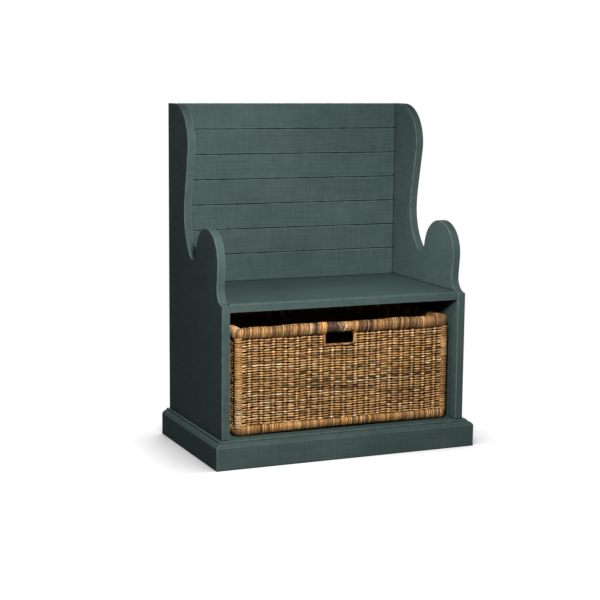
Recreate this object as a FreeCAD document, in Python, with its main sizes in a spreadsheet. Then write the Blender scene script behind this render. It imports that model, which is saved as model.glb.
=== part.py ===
"""Hall bench with a moulded plinth, scrolled sides, a tongued and grooved board
back, a housed seat and an open bay that holds a woven basket. The basket slides
out to the front. Millimetres, +Z up, front at -Y, origin on the floor in the
middle of the whole."""

import FreeCAD
import Part
import Sketcher
import math
import os
import re

SIZES = {
    # Side panels
    "bench_width": 818,
    "panel_thickness": 26,
    "panel_depth": 488,
    "panel_height": 1073,
    "panel_edge_radius": 2.5,
    # Scrolled front edge, from the foot of the arm up to the wing
    "arm_foot_drop": 5,
    "neck_radius": 45,
    "arm_radius": 98.5,
    "arm_centre_setback": 136,
    "arm_centre_rise": 119,
    "crotch_radius": 30,
    "waist_lower_radius": 172.5,
    "waist_rise": 123.5,
    "wing_depth": 187,
    # Plinth rails and the moulding along their tops
    "plinth_thickness": 26,
    "plinth_height": 85,
    "plinth_face_height": 68,
    "plinth_ledge": 11,
    "ledge_nose_radius": 2.5,
    "quirk_drop": 5.5,
    "quirk_width": 1.5,
    "ovolo_radius": 22,
    # Seat and shelf
    "seat_top_height": 495.5,
    "seat_thickness": 27,
    "seat_setback": 5,
    "seat_nose_radius": 7,
    "seat_arris_radius": 2.5,
    "seat_tongue": 15,
    "housing_depth": 6,
    "housing_stop": 25,
    "shelf_thickness": 20,
    "base_rail_thickness": 20,
    # Back
    "last_board_margin": 11.2,
    "board_thickness": 16,
    "board_gap": 2,
    "board_chamfer": 1.5,
    "tongue_thickness": 5,
    "tongue_length": 6,
    "batten_thickness": 15,
    "batten_width": 60,
    "batten_top_drop": 20,
    "floor_gap": 4,
    # Cleats and corner blocks
    "cleat_width": 20,
    "cleat_height": 25,
    "cleat_setback": 170,
    "block_leg": 38,
    "block_height": 34,
    # Countersunk screws
    "screw_radius": 2,
    "screw_head_radius": 4,
    "screw_head_height": 2.4,
    "board_screw_length": 26,
    "cleat_screw_length": 37,
    "cleat_screw_inset": 45,
    # Room round the basket, and the basket
    "basket_setback": 22,
    "basket_rear_room": 25,
    "basket_left_room": 26,
    "basket_right_room": 18,
    "basket_headroom": 50.2,
    "basket_taper": 1,
    "rim_height": 38,
    "rim_thickness": 30,
    "rim_edge_radius": 9,
    "base_rim_height": 32,
    "base_rim_thickness": 24,
    "base_rim_edge_radius": 7,
    "post_radius": 13,
    "wall_thickness": 12,
    "wall_inset": 4,
    "stake_rise": 3,
    "stake_crown": 5,
    "basket_floor_thickness": 9,
    "floor_rod_radius": 5,
    "hand_hole_width": 94,
    "hand_hole_height": 28,
    "hand_hole_rise": 5.5,
    "hand_hole_offset": -16,
    "binding_width": 8,
    "binding_proud": 1.5,
    "binding_corner_radius": 7,
    # Clearances
    "joint_gap": 0.3,
    "screw_gap": 0.15,
    "slide_gap": 0.3,
    "cut_overrun": 5,
}

# Proportions of the wing: radii and waist as shares of its height above the
# waist, and the most that its shoulder may take of its depth
SHARES = {
    "shoulder_share": 0.372,
    "shoulder_depth_share": 0.677,
    "waist_share": 0.894,
    "waist_cut_share": 0.1044,
}

# How many there are of what repeats: screws for each cleat, stakes for each wall
BOARD_COUNT = 7
BATTEN_COUNT = 3
SEAT_SCREW_COUNT = 3
SHELF_SCREW_COUNT = 2
FLOOR_ROD_COUNT = 3
LONG_STAKE_COUNT = 33
END_STAKE_COUNT = 17

# Lengths that follow from the driving sizes above
DERIVED = {
    "overall_depth": "panel_depth + plinth_thickness",
    "panel_front": "plinth_thickness - overall_depth / 2",
    "inner_width": "bench_width - 2 * panel_thickness",
    "arm_foot_height": "seat_top_height - arm_foot_drop",
    "arm_centre_height": "arm_foot_height + arm_centre_rise",
    "waist_height": "arm_centre_height + waist_rise",
    "wing_rise": "panel_height - waist_height",
    "wing_setback": "panel_depth - wing_depth",
    "wing_shoulder_radius": "min(shoulder_share * wing_rise; shoulder_depth_share * wing_depth)",
    "waist_setback": "wing_setback + waist_cut_share * wing_rise",
    "waist_upper_radius": "waist_share * wing_rise",
    "board_length": "inner_width - 2 * joint_gap",
    "seat_underside": "seat_top_height - seat_thickness",
    "shelf_underside": "plinth_height - shelf_thickness",
    "bay_depth": "panel_depth - batten_thickness - board_thickness",
    "back_front": "panel_front + bay_depth",
    "batten_front": "back_front + board_thickness",
    "board_cover": "(panel_height - seat_top_height - last_board_margin) / %d" % BOARD_COUNT,
    "groove_width": "tongue_thickness + 2 * joint_gap",
    "groove_depth": "tongue_length - board_gap + 2 * joint_gap",
    "seat_screw_start": "cleat_setback + cleat_screw_inset",
    "seat_screw_row": "bay_depth - cleat_setback - cleat_width - 2 * cleat_screw_inset",
    "shelf_screw_start": "base_rail_thickness + joint_gap + cleat_screw_inset",
    "shelf_screw_row": "bay_depth - 2 * base_rail_thickness - 2 * cleat_screw_inset",
    "basket_width": "inner_width - basket_left_room - basket_right_room",
    "basket_offset": "(basket_left_room - basket_right_room) / 2",
    "basket_depth": "bay_depth - basket_setback - basket_rear_room",
    "basket_front": "panel_front + basket_setback",
    "basket_bottom": "plinth_height + slide_gap",
    "basket_height": "seat_underside - basket_bottom - basket_headroom",
    "wall_top": "basket_height - rim_height",
    "floor_lift": "2 * floor_rod_radius + 2 * joint_gap",
}

# Heights of the lowest row of screws in the back boards, and of the two rows in
# the lower back panel
FIRST_SCREW_HEIGHT = "(panel_height - (%d - 0.5) * board_cover)" % BOARD_COUNT
LOWER_SCREW_HEIGHTS = ("(seat_underside - board_cover / 2)", "(plinth_height + board_cover / 2)")

# Cubic millimetres that a cut has to take away at least
LEAST_CUT = 1

doc = FreeCAD.newDocument("hall_bench")
sheet = doc.addObject("Spreadsheet::Sheet", "dims")
sub_parts = []


def fill_sheet():
    cells = [(alias, str(number)) for alias, number in (SIZES | SHARES).items()]
    cells += [(alias, "=" + formula) for alias, formula in DERIVED.items()]
    for row, (alias, cell) in enumerate(cells, 1):
        sheet.set("A%d" % row, alias)
        sheet.set("B%d" % row, cell)
        sheet.setAlias("B%d" % row, alias)
    doc.recompute()


def linked(formula):
    """The formula with every size name turned into its cell of the sheet."""
    def cell(match):
        word = match.group(0)
        return "dims." + word if word in SIZES | DERIVED else word
    return re.sub(r"[a-z_]+", cell, formula)


def value(formula):
    return float(sheet.evalExpression(linked(formula)))


def bind(item, path, formula):
    item.setExpression(path, linked(formula))


def new_body(label, x="0", y="0", z="0"):
    body = doc.addObject("PartDesign::Body", label)
    body.Label = label
    body.AllowCompound = True
    bind(body, "Placement.Base.x", x)
    bind(body, "Placement.Base.y", y)
    bind(body, "Placement.Base.z", z)
    sub_parts.append(body)
    return body


def new_sketch(body, name, plane, across="0", up="0", out="0"):
    """A sketch on one of the body's own planes, moved within and off it."""
    sketch = body.newObject("Sketcher::SketchObject", name)
    features = body.Origin.OriginFeatures
    sketch.AttachmentSupport = ([f for f in features if f.Role == plane][0], "")
    sketch.MapMode = "FlatFace"
    bind(sketch, "AttachmentOffset.Base.x", across)
    bind(sketch, "AttachmentOffset.Base.y", up)
    bind(sketch, "AttachmentOffset.Base.z", out)
    return sketch


def hold(sketch, kind, formula, *where):
    """A dimension of the sketch that follows the sheet."""
    size = value(formula)
    number = sketch.addConstraint(Sketcher.Constraint(kind, *where, size))
    bind(sketch, "Constraints[%d]" % number, formula)


def hold_point(sketch, line, end, across, up):
    """Hold one end of a line at its place from the sketch's origin."""
    if across == "0":
        sketch.addConstraint(Sketcher.Constraint("PointOnObject", line, end, -2))
    else:
        hold(sketch, "DistanceX", across, -1, 1, line, end)
    if up == "0":
        sketch.addConstraint(Sketcher.Constraint("PointOnObject", line, end, -1))
    else:
        hold(sketch, "DistanceY", up, -1, 1, line, end)


def arc_between(start, end, radius):
    """The shorter arc from start to end that bulges to the right of the way."""
    chord = end - start
    half = chord.Length / 2
    left = FreeCAD.Vector(-chord.y, chord.x, 0).normalize()
    centre = start + chord * 0.5 + left * math.sqrt(radius * radius - half * half)
    circle = Part.Circle(centre, FreeCAD.Vector(0, 0, 1), radius)
    angles = [math.atan2(p.y - centre.y, p.x - centre.x) for p in (start, end)]
    return Part.ArcOfCircle(circle, angles[0], angles[1])


def draw_loop(sketch, corners, arcs=None):
    """A closed loop through the corners, each a pair of formulas. The stretch
    that starts at a corner in arcs is an arc of that radius."""
    arcs = arcs or {}
    points = [FreeCAD.Vector(value(a), value(b), 0) for a, b in corners]
    lines = []
    for index, start in enumerate(points):
        end = points[(index + 1) % len(points)]
        if index in arcs:
            edge = arc_between(start, end, value(arcs[index]))
        else:
            edge = Part.LineSegment(start, end)
        lines.append(sketch.addGeometry(edge))
    for index, line in enumerate(lines):
        following = lines[(index + 1) % len(lines)]
        sketch.addConstraint(Sketcher.Constraint("Coincident", line, 2, following, 1))
    for line, (across, up) in zip(lines, corners):
        hold_point(sketch, line, 1, across, up)
    for index, radius in arcs.items():
        hold(sketch, "Radius", radius, lines[index])


def rectangle(sketch, left, low, right, high):
    draw_loop(sketch, [(left, low), (right, low), (right, high), (left, high)])


def disc(sketch, radius):
    """A circle round the sketch's origin."""
    circle = Part.Circle(FreeCAD.Vector(0, 0, 0), FreeCAD.Vector(0, 0, 1), value(radius))
    edge = sketch.addGeometry(circle)
    sketch.addConstraint(Sketcher.Constraint("Coincident", edge, 3, -1, 1))
    hold(sketch, "Radius", radius, edge)


def pad(body, sketch, length, backwards=False):
    feature = body.newObject("PartDesign::Pad", "pad")
    feature.Profile = sketch
    feature.Reversed = backwards
    bind(feature, "Length", length)
    doc.recompute()
    return feature


def check_cut(body, volume_before, name):
    doc.recompute()
    if body.Shape.Volume > volume_before - LEAST_CUT:
        raise RuntimeError("%s takes nothing from %s" % (name, body.Label))


def pocket(body, sketch, length, backwards=False):
    before = body.Shape.Volume
    feature = body.newObject("PartDesign::Pocket", "pocket")
    feature.Profile = sketch
    feature.Reversed = backwards
    bind(feature, "Length", length)
    check_cut(body, before, sketch.Label)
    return feature


def round_edges(body, radius, wanted):
    """Round the edges of the body so far whose middle and shape pass the test."""
    base = body.Tip
    names = []
    for number, edge in enumerate(base.Shape.Edges, 1):
        middle = edge.valueAt((edge.FirstParameter + edge.LastParameter) / 2)
        if wanted(edge, middle):
            names.append("Edge%d" % number)
    feature = body.newObject("PartDesign::Fillet", "fillet")
    feature.Base = (base, names)
    bind(feature, "Radius", radius)
    body.Tip = feature
    doc.recompute()
    return feature


def repeat(body, features, sketch, axis, length, count, backwards=False):
    """Copies of the features in a row along an axis of the sketch."""
    row = body.newObject("PartDesign::LinearPattern", "row")
    row.Originals = features
    row.Direction = (sketch, [axis])
    row.Reversed = backwards
    bind(row, "Length", length)
    row.Occurrences = count
    body.Tip = row
    doc.recompute()
    return row


def near(a, b):
    return abs(a - b) < value("joint_gap") / 2


def is_upright(edge):
    low, high = edge.BoundBox.ZMin, edge.BoundBox.ZMax
    return edge.Curve.TypeId == "Part::GeomLine" and near(edge.Length, high - low)


# Side panels

def touching_line(hollow, hollow_radius, round_centre, round_radius):
    """Ends of the line that touches a hollow arc and a round one between them."""
    between = round_centre - hollow
    turn = math.acos((hollow_radius + round_radius) / between.Length)
    angle = math.atan2(between.y, between.x) - turn
    way = FreeCAD.Vector(math.cos(angle), math.sin(angle), 0)
    return hollow + way * hollow_radius, round_centre - way * round_radius, angle


def crotch_centre(arm, arm_radius, waist, waist_radius, radius):
    """Centre of the small hollow that touches the arm and the waist."""
    between = waist - arm
    near_side = arm_radius + radius
    far_side = waist_radius - radius
    along = between.Length ** 2 + near_side ** 2 - far_side ** 2
    along /= 2 * between.Length
    off = math.sqrt(near_side ** 2 - along ** 2)
    way = between.normalize()
    return arm + way * along + FreeCAD.Vector(way.y, -way.x, 0) * off


def angle_to(centre, point):
    return math.atan2(point.y - centre.y, point.x - centre.x)


def draw_side_outline(sketch):
    """Straight front, hollow neck, round arm, crotch, waisted wing and shoulder.
    The arcs are drawn in place first and then held by tangency and size."""
    spot = FreeCAD.Vector
    depth = value("panel_depth")
    height = value("panel_height")
    shoulder_r = value("wing_shoulder_radius")
    upper_r = value("waist_upper_radius")
    lower_r = value("waist_lower_radius")
    crotch_r = value("crotch_radius")
    arm_r = value("arm_radius")
    neck_r = value("neck_radius")
    shoulder = spot(value("wing_setback") + shoulder_r, height - shoulder_r, 0)
    upper = spot(value("waist_setback") - upper_r, value("waist_height"), 0)
    lower = spot(value("waist_setback") - lower_r, value("waist_height"), 0)
    arm = spot(value("arm_centre_setback"), value("arm_centre_height"), 0)
    neck = spot(0, value("arm_foot_height") + neck_r, 0)
    crotch = crotch_centre(arm, arm_r, lower, lower_r, crotch_r)
    waist_end, shoulder_end, wing_turn = touching_line(upper, upper_r, shoulder, shoulder_r)
    neck_end, arm_end, neck_turn = touching_line(neck, neck_r, arm, arm_r)
    lower_turn = angle_to(lower, crotch)
    arm_turn = angle_to(arm, crotch)

    def line(start, end):
        return sketch.addGeometry(Part.LineSegment(start, end))

    def arc(centre, radius, first, last):
        circle = Part.Circle(centre, spot(0, 0, 1), radius)
        return sketch.addGeometry(Part.ArcOfCircle(circle, first, last))

    foot = line(spot(0, 0, 0), spot(depth, 0, 0))
    rear = line(spot(depth, 0, 0), spot(depth, height, 0))
    top = line(spot(depth, height, 0), spot(shoulder.x, height, 0))
    shoulder_arc = arc(shoulder, shoulder_r, math.pi / 2, math.pi + wing_turn)
    wing = line(shoulder_end, waist_end)
    upper_arc = arc(upper, upper_r, 0, wing_turn)
    lower_arc = arc(lower, lower_r, lower_turn, 0)
    crotch_arc = arc(crotch, crotch_r, arm_turn - math.pi, lower_turn)
    arm_arc = arc(arm, arm_r, arm_turn, math.pi + neck_turn)
    throat = line(arm_end, neck_end)
    neck_arc = arc(neck, neck_r, -math.pi / 2, neck_turn)
    front = line(spot(0, value("arm_foot_height"), 0), spot(0, 0, 0))

    def join(kind, *where):
        sketch.addConstraint(Sketcher.Constraint(kind, *where))

    join("Coincident", foot, 2, rear, 1)
    join("Coincident", rear, 2, top, 1)
    join("Tangent", top, 2, shoulder_arc, 1)
    join("Tangent", shoulder_arc, 2, wing, 1)
    join("Tangent", wing, 2, upper_arc, 2)
    join("Tangent", upper_arc, 1, lower_arc, 2)
    join("Tangent", lower_arc, 1, crotch_arc, 2)
    join("Tangent", crotch_arc, 1, arm_arc, 1)
    join("Tangent", arm_arc, 2, throat, 1)
    join("Tangent", throat, 2, neck_arc, 2)
    join("Coincident", neck_arc, 1, front, 1)
    join("Coincident", front, 2, foot, 1)
    join("Coincident", foot, 1, -1, 1)
    join("Horizontal", foot)
    join("Vertical", rear)
    join("Horizontal", top)
    join("Vertical", front)
    join("PointOnObject", neck_arc, 3, -2)
    hold(sketch, "DistanceX", "panel_depth", foot, 1, foot, 2)
    hold(sketch, "DistanceY", "panel_height", rear, 1, rear, 2)
    hold(sketch, "Radius", "wing_shoulder_radius", shoulder_arc)
    hold(sketch, "DistanceX", "wing_setback + wing_shoulder_radius", -1, 1, shoulder_arc, 3)
    hold(sketch, "Radius", "waist_upper_radius", upper_arc)
    hold(sketch, "DistanceX", "waist_setback", -1, 1, upper_arc, 1)
    hold(sketch, "DistanceY", "waist_height", -1, 1, upper_arc, 1)
    hold(sketch, "DistanceY", "waist_height", -1, 1, upper_arc, 3)
    hold(sketch, "Radius", "waist_lower_radius", lower_arc)
    hold(sketch, "Radius", "crotch_radius", crotch_arc)
    hold(sketch, "Radius", "arm_radius", arm_arc)
    hold(sketch, "DistanceX", "arm_centre_setback", -1, 1, arm_arc, 3)
    hold(sketch, "DistanceY", "arm_centre_height", -1, 1, arm_arc, 3)
    hold(sketch, "Radius", "neck_radius", neck_arc)
    hold(sketch, "DistanceY", "arm_foot_height", -1, 1, neck_arc, 1)


def side_panel(label, left_hand):
    """A scrolled panel with a stopped housing for the seat on its inner face."""
    x = "-bench_width / 2" if left_hand else "inner_width / 2"
    body = new_body(label, x, "panel_front", "0")
    outline = new_sketch(body, label + "_outline", "YZ_Plane")
    draw_side_outline(outline)
    pad(body, outline, "panel_thickness")
    depth = value("panel_depth")

    def shaped(edge, middle):
        on_face = near(edge.BoundBox.XLength, 0)
        arm_foot = near(middle.y, 0)
        hidden = near(middle.z, 0) or near(middle.y, depth)
        return (on_face or arm_foot) and not hidden

    round_edges(body, "panel_edge_radius", shaped)
    inner_face = "panel_thickness" if left_hand else "0"
    housing = new_sketch(body, label + "_housing", "YZ_Plane", out=inner_face)
    rectangle(housing, "housing_stop", "seat_underside", "bay_depth",
              "seat_underside + seat_tongue + joint_gap")
    pocket(body, housing, "housing_depth", backwards=not left_hand)


# Plinth

def plinth_profile(sketch):
    """Ledge, small nose, quirk and ovolo above a plain face. The outer face is
    at zero and the inner one at the rail's thickness."""
    ledge_end = "plinth_thickness - plinth_ledge"
    quirk_end = "plinth_thickness - plinth_ledge - quirk_width"
    draw_loop(sketch, [
        ("0", "0"),
        ("plinth_thickness", "0"),
        ("plinth_thickness", "plinth_height"),
        (ledge_end + " + ledge_nose_radius", "plinth_height"),
        (ledge_end, "plinth_height - ledge_nose_radius"),
        (ledge_end, "plinth_height - quirk_drop"),
        (quirk_end, "plinth_height - quirk_drop"),
        ("0", "plinth_face_height"),
    ], arcs={3: "ledge_nose_radius", 6: "ovolo_radius"})


def mirrored_plinth_profile(sketch):
    """The same moulding with its outer face on the far side."""
    quirk_end = "plinth_ledge + quirk_width"
    draw_loop(sketch, [
        ("0", "0"),
        ("plinth_thickness", "0"),
        ("plinth_thickness", "plinth_face_height"),
        (quirk_end, "plinth_height - quirk_drop"),
        ("plinth_ledge", "plinth_height - quirk_drop"),
        ("plinth_ledge", "plinth_height - ledge_nose_radius"),
        ("plinth_ledge - ledge_nose_radius", "plinth_height"),
        ("0", "plinth_height"),
    ], arcs={2: "ovolo_radius", 5: "ledge_nose_radius"})


def mitre_cut(body, label, corners):
    sketch = new_sketch(body, label, "XY_Plane", out="-cut_overrun")
    draw_loop(sketch, corners)
    pocket(body, sketch, "plinth_height + 2 * cut_overrun", backwards=True)


def plinth_front():
    """The rail across the front, mitred at both ends."""
    body = new_body("plinth_front", "-bench_width / 2 - plinth_thickness",
                    "panel_front - plinth_thickness")
    section = new_sketch(body, "plinth_front_section", "YZ_Plane")
    plinth_profile(section)
    pad(body, section, "bench_width + 2 * plinth_thickness")
    far_end = "bench_width + 2 * plinth_thickness"
    mitre_cut(body, "left_mitre", [
        ("-cut_overrun", "-cut_overrun"),
        ("plinth_thickness + cut_overrun", "plinth_thickness + cut_overrun"),
        ("-cut_overrun", "plinth_thickness + cut_overrun")])
    mitre_cut(body, "right_mitre", [
        (far_end + " + cut_overrun", "-cut_overrun"),
        (far_end + " + cut_overrun", "plinth_thickness + cut_overrun"),
        (far_end + " - plinth_thickness - cut_overrun", "plinth_thickness + cut_overrun")])


def plinth_side(label, left_hand):
    """A rail along one side, mitred at the front and square at the wall."""
    x = "-bench_width / 2 - plinth_thickness" if left_hand else "bench_width / 2"
    body = new_body(label, x, "panel_front - plinth_thickness")
    section = new_sketch(body, label + "_section", "XZ_Plane")
    if left_hand:
        plinth_profile(section)
    else:
        mirrored_plinth_profile(section)
    pad(body, section, "overall_depth", backwards=True)
    if left_hand:
        corners = [
            ("-cut_overrun", "-cut_overrun"),
            ("plinth_thickness + cut_overrun", "-cut_overrun"),
            ("plinth_thickness + cut_overrun", "plinth_thickness + cut_overrun")]
    else:
        corners = [
            ("-cut_overrun", "-cut_overrun"),
            ("plinth_thickness + cut_overrun", "-cut_overrun"),
            ("-cut_overrun", "plinth_thickness + cut_overrun")]
    mitre_cut(body, label + "_mitre", corners)


def base_rail(label, y):
    """A rail between the side panels that carries the shelf."""
    body = new_body(label, "-board_length / 2", y)
    face = new_sketch(body, label + "_face", "XY_Plane")
    rectangle(face, "0", "0", "board_length", "base_rail_thickness")
    pad(body, face, "shelf_underside")


def corner_blocks():
    """Three-cornered glue blocks in the four inner corners of the base."""
    body = new_body("corner_blocks", "0", "panel_front + base_rail_thickness", "floor_gap")
    side = "board_length / 2"
    far = "bay_depth - 2 * base_rail_thickness - joint_gap"
    corners = [
        [("-" + side, "0"), ("-%s + block_leg" % side, "0"), ("-" + side, "block_leg")],
        [(side + " - block_leg", "0"), (side, "0"), (side, "block_leg")],
        [("-" + side, far + " - block_leg"), ("-%s + block_leg" % side, far), ("-" + side, far)],
        [(side, far + " - block_leg"), (side, far), (side + " - block_leg", far)],
    ]
    for number, corner in enumerate(corners, 1):
        sketch = new_sketch(body, "block_%d" % number, "XY_Plane")
        draw_loop(sketch, corner)
        pad(body, sketch, "block_height")


# Screws and their holes

def screw_section(sketch, length, gap, way):
    """Half the section of a countersunk screw, or of its hole with a gap. The
    head's face is at zero and the point lies up or down the sketch."""
    sign = "" if way > 0 else "-"
    shank = "screw_radius + " + gap
    head = "screw_head_radius + " + gap
    corners = [
        ("0", "0"),
        (head, "0"),
        (shank, sign + "screw_head_height"),
        (shank, "%s(%s + %s)" % (sign, length, gap)),
        ("0", "%s(%s + %s)" % (sign, length, gap)),
    ]
    draw_loop(sketch, corners)


def turned(body, sketch, kind):
    before = body.Shape.Volume if kind == "PartDesign::Groove" else 0
    feature = body.newObject(kind, "turned")
    feature.Profile = sketch
    feature.ReferenceAxis = (sketch, ["V_Axis"])
    feature.Angle = 360
    if kind == "PartDesign::Groove":
        check_cut(body, before, sketch.Label)
    doc.recompute()
    return feature


# Seat, shelf and the cleats below them

def seat_board():
    """A seat with a rounded nose. The lower part of each end is a tongue in a
    side panel's housing, which stops short of the front."""
    body = new_body("seat_board", "0", "panel_front + seat_setback", "seat_underside")
    half = "board_length / 2"
    tongue_end = "(inner_width / 2 + housing_depth - joint_gap)"
    rear = "bay_depth - seat_setback - joint_gap"
    outline = new_sketch(body, "seat_outline", "XY_Plane")
    rectangle(outline, "-" + half, "0", half, rear)
    pad(body, outline, "seat_thickness")
    tongues = new_sketch(body, "seat_tongues", "XY_Plane")
    rectangle(tongues, "-" + tongue_end, "housing_stop - seat_setback + joint_gap",
              tongue_end, rear)
    pad(body, tongues, "seat_tongue")
    thickness = value("seat_thickness")

    def front_edge(level):
        return lambda edge, middle: near(middle.y, 0) and near(middle.z, level)

    round_edges(body, "seat_nose_radius", front_edge(thickness))
    round_edges(body, "seat_arris_radius", front_edge(0))
    for number, side in enumerate(("-", ""), 1):
        across = side + "(board_length / 2 - cleat_width / 2)"
        pilot_row(body, "seat_pilots_%d" % number, across, "seat_screw_start - seat_setback",
                  "seat_screw_row", SEAT_SCREW_COUNT)


def pilot_row(body, label, across, start, row, count):
    """Blind holes from below for the ends of screws that come up through a
    cleat, in a row along the body's depth."""
    depth = "cleat_screw_length - cleat_height + screw_gap"
    sketch = new_sketch(body, label, "XY_Plane", across, start)
    disc(sketch, "screw_radius + screw_gap")
    cut = pocket(body, sketch, depth, backwards=True)
    repeat(body, [cut], sketch, "V_Axis", row, count)


def bottom_shelf():
    body = new_body("bottom_shelf", "-board_length / 2", "panel_front", "shelf_underside")
    face = new_sketch(body, "shelf_face", "XY_Plane")
    rectangle(face, "0", "0", "board_length", "bay_depth - joint_gap")
    pad(body, face, "shelf_thickness")
    for number, across in enumerate(("cleat_width / 2", "board_length - cleat_width / 2"), 1):
        pilot_row(body, "shelf_pilots_%d" % number, across, "shelf_screw_start",
                  "shelf_screw_row", SHELF_SCREW_COUNT)


def side_cleat(label, left_hand, y, z, length, row, count):
    """A square batten along a side panel with countersunk holes from below."""
    x = "-board_length / 2" if left_hand else "board_length / 2 - cleat_width"
    body = new_body(label, x, y, z)
    face = new_sketch(body, label + "_face", "XY_Plane")
    rectangle(face, "0", "0", "cleat_width", length)
    pad(body, face, "cleat_height")
    hole = new_sketch(body, label + "_hole", "XZ_Plane", across="cleat_width / 2",
                      out="-cleat_screw_inset")
    screw_section(hole, "cleat_screw_length", "screw_gap", 1)
    cut = turned(body, hole, "PartDesign::Groove")
    repeat(body, [cut], hole, "N_Axis", row, count, backwards=True)


def rear_seat_cleat():
    body = new_body("seat_cleat_rear", "-board_length / 2 + cleat_width + joint_gap",
                    "back_front - cleat_width - joint_gap", "seat_underside - cleat_height")
    face = new_sketch(body, "rear_cleat_face", "XY_Plane")
    rectangle(face, "0", "0", "board_length - 2 * cleat_width - 2 * joint_gap", "cleat_width")
    pad(body, face, "cleat_height")


def cleat_screws(label, y, z, row, count):
    """Two rows of countersunk screws, one up through each side cleat."""
    body = new_body(label, "0", y, z)
    for number, side in enumerate(("-", ""), 1):
        across = side + "(board_length / 2 - cleat_width / 2)"
        section = new_sketch(body, "%s_section_%d" % (label, number), "XZ_Plane", across)
        screw_section(section, "cleat_screw_length", "0", 1)
        screw = turned(body, section, "PartDesign::Revolution")
        repeat(body, [screw], section, "N_Axis", row, count, backwards=True)


# Back

def board_section(sketch, height, tongue, groove):
    """A board's end, with its show face at zero. The top edge carries a tongue
    and the bottom edge a groove unless the board is the last on that side."""
    middle = "board_thickness / 2"
    corners = [("board_chamfer", "0")] if groove else [("0", "0")]
    if groove:
        corners += [
            (middle + " - groove_width / 2", "0"),
            (middle + " - groove_width / 2", "groove_depth"),
            (middle + " + groove_width / 2", "groove_depth"),
            (middle + " + groove_width / 2", "0"),
        ]
    corners += [("board_thickness", "0"), ("board_thickness", height)]
    if tongue:
        corners += [
            (middle + " + tongue_thickness / 2", height),
            (middle + " + tongue_thickness / 2", height + " + tongue_length"),
            (middle + " - tongue_thickness / 2", height + " + tongue_length"),
            (middle + " - tongue_thickness / 2", height),
        ]
    corners += [("board_chamfer", height), ("0", height + " - board_chamfer")]
    if groove:
        corners.append(("0", "board_chamfer"))
    draw_loop(sketch, corners)


def back_board(number):
    """One board of the back, counted from the top. The last one is wider and
    runs down behind the seat."""
    last = number == BOARD_COUNT
    top_gap = "0" if number == 1 else "board_gap"
    top = "panel_height - %d * board_cover" % (number - 1)
    bottom = "seat_underside" if last else "panel_height - %d * board_cover" % number
    height = "(%s) - (%s) - %s" % (top, bottom, top_gap)
    label = "back_board_%d" % number
    body = new_body(label, "-board_length / 2", "back_front", bottom)
    section = new_sketch(body, label + "_section", "YZ_Plane")
    board_section(section, height, tongue=number > 1, groove=not last)
    pad(body, section, "board_length")
    row_height = "panel_height - (%d - 0.5) * board_cover - (%s)" % (number, bottom)
    back_pilots(body, label, row_height)


def back_pilots(body, label, up, columns=BATTEN_COUNT):
    """Blind holes in a board's hidden face, one behind each batten."""
    sketch = new_sketch(body, label + "_pilots", "XZ_Plane", "batten_width / 2", up,
                        "-board_thickness")
    disc(sketch, "screw_radius + screw_gap")
    cut = pocket(body, sketch, "board_screw_length - batten_thickness + screw_gap",
                 backwards=True)
    repeat(body, [cut], sketch, "H_Axis", "board_length - batten_width", columns)


def lower_back_panel():
    """The plain panel that closes the bay and the base at the back."""
    body = new_body("lower_back_panel", "-board_length / 2", "back_front", "floor_gap")
    face = new_sketch(body, "lower_back_face", "XZ_Plane")
    rectangle(face, "0", "0", "board_length", "seat_underside - joint_gap - floor_gap")
    pad(body, face, "board_thickness", backwards=True)
    back_pilots(body, "lower_back_high", LOWER_SCREW_HEIGHTS[0] + " - floor_gap")
    back_pilots(body, "lower_back_low", LOWER_SCREW_HEIGHTS[1] + " - floor_gap")


def back_batten(number):
    """An upright batten behind the boards, counted from the left."""
    step = "(board_length - batten_width) / %d" % (BATTEN_COUNT - 1)
    label = "back_batten_" + ("left", "centre", "right")[number]
    body = new_body(label, "-board_length / 2 + %d * %s" % (number, step), "batten_front",
                    "floor_gap")
    face = new_sketch(body, label + "_face", "XY_Plane")
    rectangle(face, "0", "0", "batten_width", "batten_thickness")
    pad(body, face, "panel_height - batten_top_drop - floor_gap")
    lowest = FIRST_SCREW_HEIGHT + " - floor_gap"
    hole = countersink(body, label + "_hole", lowest)
    repeat(body, [hole[1]], hole[0], "N_Axis", "(%d - 1) * board_cover" % BOARD_COUNT,
           BOARD_COUNT)
    for index, height in enumerate(LOWER_SCREW_HEIGHTS):
        countersink(body, "%s_low_hole_%d" % (label, index), height + " - floor_gap")


def countersink(body, label, up):
    sketch = new_sketch(body, label, "XY_Plane", "batten_width / 2", "batten_thickness", up)
    screw_section(sketch, "board_screw_length", "screw_gap", -1)
    return sketch, turned(body, sketch, "PartDesign::Groove")


def back_screws():
    """Screws from behind through every batten into every board."""
    body = new_body("back_screws", "-board_length / 2 + batten_width / 2",
                    "batten_front + batten_thickness", "0")
    span = "board_length - batten_width"
    rows = [(FIRST_SCREW_HEIGHT, BOARD_COUNT), (LOWER_SCREW_HEIGHTS[0], 1),
            (LOWER_SCREW_HEIGHTS[1], 1)]
    for column in range(BATTEN_COUNT):
        across = "%d * (%s) / %d" % (column, span, BATTEN_COUNT - 1)
        for number, (height, count) in enumerate(rows):
            section = new_sketch(body, "screw_section_%d_%d" % (column, number), "XY_Plane",
                                 across, out=height)
            screw_section(section, "board_screw_length", "0", -1)
            screw = turned(body, section, "PartDesign::Revolution")
            if count > 1:
                repeat(body, [screw], section, "N_Axis", "(%d - 1) * board_cover" % count, count)


# Basket, in its own frame: centred across, front of the rim at zero, bottom at zero

def basket_body(label):
    return new_body(label, "basket_offset", "basket_front", "basket_bottom")


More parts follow.
